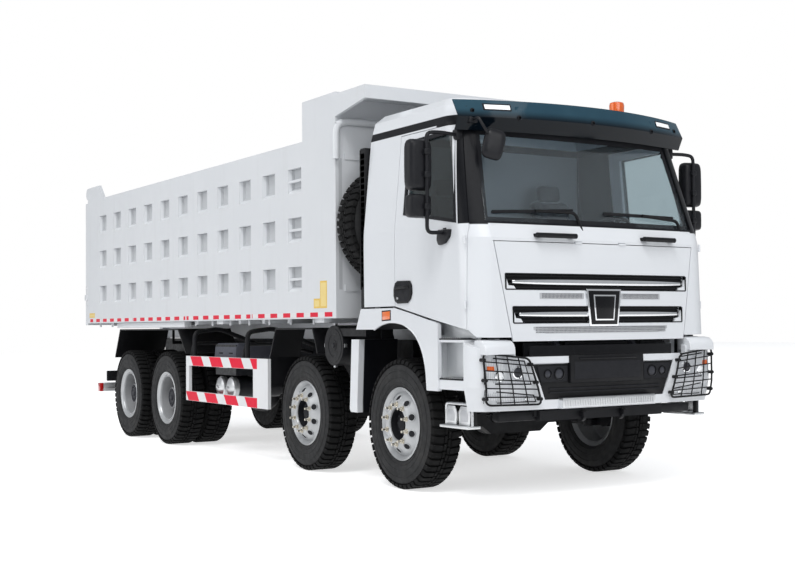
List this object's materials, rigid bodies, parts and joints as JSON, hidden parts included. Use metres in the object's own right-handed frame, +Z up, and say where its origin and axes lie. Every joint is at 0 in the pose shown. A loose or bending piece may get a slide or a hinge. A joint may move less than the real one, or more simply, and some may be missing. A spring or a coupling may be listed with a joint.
{
  "type": "mining dump truck",
  "caption": "Forward-control off-road tipper truck with paired steer and drive axles, tilting cab and a pocketed steel bed raised by a front telescopic hoist.",
  "frame": {"origin": "middle of the footprint at ground level", "axes": "+Z up, front faces -Y, +X towards the truck's left side"},
  "size_m": [3.12, 9.86, 3.515],
  "materials": {
    "tyre": "matt",
    "wheel_silver": "satin",
    "chassis_black": "satin",
    "tank_aluminium": "satin",
    "black_plastic": "matt",
    "cab_white": "gloss",
    "lamp_glass": "clear",
    "window_glass": "tinted",
    "visor_tint": "gloss",
    "dark_trim": "matt",
    "seat_fabric": "woven",
    "bed_white": "gloss",
    "hoist_steel": "satin"
  },
  "bodies": {
    "chassis": {"chassis_frame": "chassis_black", "steer_axles": "chassis_black", "drive_axles": "chassis_black", "leaf_springs": "chassis_black", "driveline": "chassis_black", "fuel_tank": "tank_aluminium", "battery_rack": "black_plastic", "side_guards": "cab_white", "cab_arches": "cab_white", "fenders": "black_plastic", "air_cleaner": "black_plastic", "spare_wheel": "tyre", "spare_carrier": "chassis_black", "front_bumper": "cab_white", "headlamps": "lamp_glass"},
    "cab": {"cab_floor": "dark_trim", "cab_back": "cab_white", "cab_sides": "cab_white", "cab_roof": "cab_white", "cab_front": "cab_white", "windscreen": "window_glass", "roof_visor": "visor_tint", "dashboard": "dark_trim", "seats": "seat_fabric"},
    "front_flap": {"front_flap": "cab_white"},
    "door_right": {"door_right": "cab_white", "door_glass_right": "window_glass", "mirror_right": "black_plastic"},
    "door_left": {"door_left": "cab_white", "door_glass_left": "window_glass", "mirror_left": "black_plastic"},
    "steering_wheel": {"steering_wheel": "black_plastic"},
    "bed": {"bed_floor": "bed_white", "bed_sides": "bed_white", "headboard": "bed_white"},
    "tailgate": {"tailgate": "bed_white"},
    "hoist_barrel": {"hoist_barrel": "hoist_steel"},
    "hoist_stage_1": {"hoist_stage_1": "hoist_steel"},
    "hoist_stage_2": {"hoist_stage_2": "hoist_steel"},
    "hoist_stage_3": {"hoist_stage_3": "hoist_steel"},
    "knuckle_1_right": {"knuckle_1_right": "chassis_black"},
    "wheel_1_right": {"tyre_1_right": "tyre", "rim_1_right": "wheel_silver"},
    "knuckle_1_left": {"knuckle_1_left": "chassis_black"},
    "wheel_1_left": {"tyre_1_left": "tyre", "rim_1_left": "wheel_silver"},
    "knuckle_2_right": {"knuckle_2_right": "chassis_black"},
    "wheel_2_right": {"tyre_2_right": "tyre", "rim_2_right": "wheel_silver"},
    "knuckle_2_left": {"knuckle_2_left": "chassis_black"},
    "wheel_2_left": {"tyre_2_left": "tyre", "rim_2_left": "wheel_silver"},
    "wheels_3_right": {"tyres_3_right": "tyre", "rims_3_right": "wheel_silver"},
    "wheels_3_left": {"tyres_3_left": "tyre", "rims_3_left": "wheel_silver"},
    "wheels_4_right": {"tyres_4_right": "tyre", "rims_4_right": "wheel_silver"},
    "wheels_4_left": {"tyres_4_left": "tyre", "rims_4_left": "wheel_silver"}
  },
  "joints": [
    {"name": "steer_1_left", "type": "hinge", "parent": "chassis", "child": "knuckle_1_left", "pos_m": [0.88, -3.57, 0.55], "axis": [0, 0, 1], "range_deg": [-36, 36]},
    {"name": "steer_1_right", "type": "hinge", "parent": "chassis", "child": "knuckle_1_right", "pos_m": [-0.88, -3.57, 0.55], "axis": [0, 0, 1], "range_deg": [-36, 36]},
    {"name": "steer_2_left", "type": "hinge", "parent": "chassis", "child": "knuckle_2_left", "pos_m": [0.88, -1.77, 0.55], "axis": [0, 0, 1], "range_deg": [-25.2, 25.2]},
    {"name": "steer_2_right", "type": "hinge", "parent": "chassis", "child": "knuckle_2_right", "pos_m": [-0.88, -1.77, 0.55], "axis": [0, 0, 1], "range_deg": [-25.2, 25.2]},
    {"name": "wheel_1_right_spin", "type": "hinge", "parent": "knuckle_1_right", "child": "wheel_1_right", "pos_m": [-1.03, -3.57, 0.55], "axis": [1, 0, 0], "continuous": true},
    {"name": "wheel_1_left_spin", "type": "hinge", "parent": "knuckle_1_left", "child": "wheel_1_left", "pos_m": [1.03, -3.57, 0.55], "axis": [1, 0, 0], "continuous": true},
    {"name": "wheel_2_right_spin", "type": "hinge", "parent": "knuckle_2_right", "child": "wheel_2_right", "pos_m": [-1.03, -1.77, 0.55], "axis": [1, 0, 0], "continuous": true},
    {"name": "wheel_2_left_spin", "type": "hinge", "parent": "knuckle_2_left", "child": "wheel_2_left", "pos_m": [1.03, -1.77, 0.55], "axis": [1, 0, 0], "continuous": true},
    {"name": "wheels_3_right_spin", "type": "hinge", "parent": "chassis", "child": "wheels_3_right", "pos_m": [-1.11, 1.78, 0.55], "axis": [1, 0, 0], "continuous": true},
    {"name": "wheels_3_left_spin", "type": "hinge", "parent": "chassis", "child": "wheels_3_left", "pos_m": [1.11, 1.78, 0.55], "axis": [1, 0, 0], "continuous": true},
    {"name": "wheels_4_right_spin", "type": "hinge", "parent": "chassis", "child": "wheels_4_right", "pos_m": [-1.11, 3.13, 0.55], "axis": [1, 0, 0], "continuous": true},
    {"name": "wheels_4_left_spin", "type": "hinge", "parent": "chassis", "child": "wheels_4_left", "pos_m": [1.11, 3.13, 0.55], "axis": [1, 0, 0], "continuous": true},
    {"name": "cab_tilt", "type": "hinge", "parent": "chassis", "child": "cab", "pos_m": [0, -4.795, 1.13], "axis": [1, 0, 0], "range_deg": [0, 45]},
    {"name": "flap_lift", "type": "hinge", "parent": "cab", "child": "front_flap", "pos_m": [0, -4.834, 2.033], "axis": [-1, 0, 0], "range_deg": [0, 75]},
    {"name": "door_right_swing", "type": "hinge", "parent": "cab", "child": "door_right", "pos_m": [-1.239, -4.695, 1.8], "axis": [0, 0, 1], "range_deg": [0, 70]},
    {"name": "door_left_swing", "type": "hinge", "parent": "cab", "child": "door_left", "pos_m": [1.239, -4.695, 1.8], "axis": [0, 0, -1], "range_deg": [0, 70]},
    {"name": "steering_wheel_turn", "type": "hinge", "parent": "cab", "child": "steering_wheel", "pos_m": [0.56, -4.21, 2.19], "axis": [0, 0.4695, 0.8829], "range_deg": [-720, 720]},
    {"name": "bed_tip", "type": "hinge", "parent": "chassis", "child": "bed", "pos_m": [0, 4.13, 1.19], "axis": [-1, 0, 0], "range_deg": [0, 45]},
    {"name": "tailgate_swing", "type": "hinge", "parent": "bed", "child": "tailgate", "pos_m": [0, 4.82, 3.25], "axis": [1, 0, 0], "range_deg": [0, 90]},
    {"name": "hoist_lean", "type": "hinge", "parent": "chassis", "child": "hoist_barrel", "pos_m": [0, -2.85, 1.01], "axis": [-1, 0, 0], "range_deg": [0, 26.05]},
    {"name": "hoist_slide_1", "type": "slide", "parent": "hoist_barrel", "child": "hoist_stage_1", "axis": [0, 0.0386, 0.9993], "range_m": [0, 1.7302]},
    {"name": "hoist_slide_2", "type": "slide", "parent": "hoist_stage_1", "child": "hoist_stage_2", "axis": [0, 0.0386, 0.9993], "range_m": [0, 1.7302]},
    {"name": "hoist_slide_3", "type": "slide", "parent": "hoist_stage_2", "child": "hoist_stage_3", "axis": [0, 0.0386, 0.9993], "range_m": [0, 1.7302]}
  ],
  "couplings": [
    {"joint": "steer_1_right", "follows": "steer_1_left", "ratio": 1},
    {"joint": "steer_2_left", "follows": "steer_1_left", "ratio": 0.7},
    {"joint": "steer_2_right", "follows": "steer_1_left", "ratio": 0.7},
    {"joint": "steering_wheel_turn", "follows": "steer_1_left", "ratio": 20},
    {"joint": "hoist_lean", "follows": "bed_tip", "ratio": 0.57875},
    {"joint": "hoist_slide_1", "follows": "bed_tip", "m_per_rad": 2.2023},
    {"joint": "hoist_slide_2", "follows": "bed_tip", "m_per_rad": 2.2023},
    {"joint": "hoist_slide_3", "follows": "bed_tip", "m_per_rad": 2.2023}
  ]
}
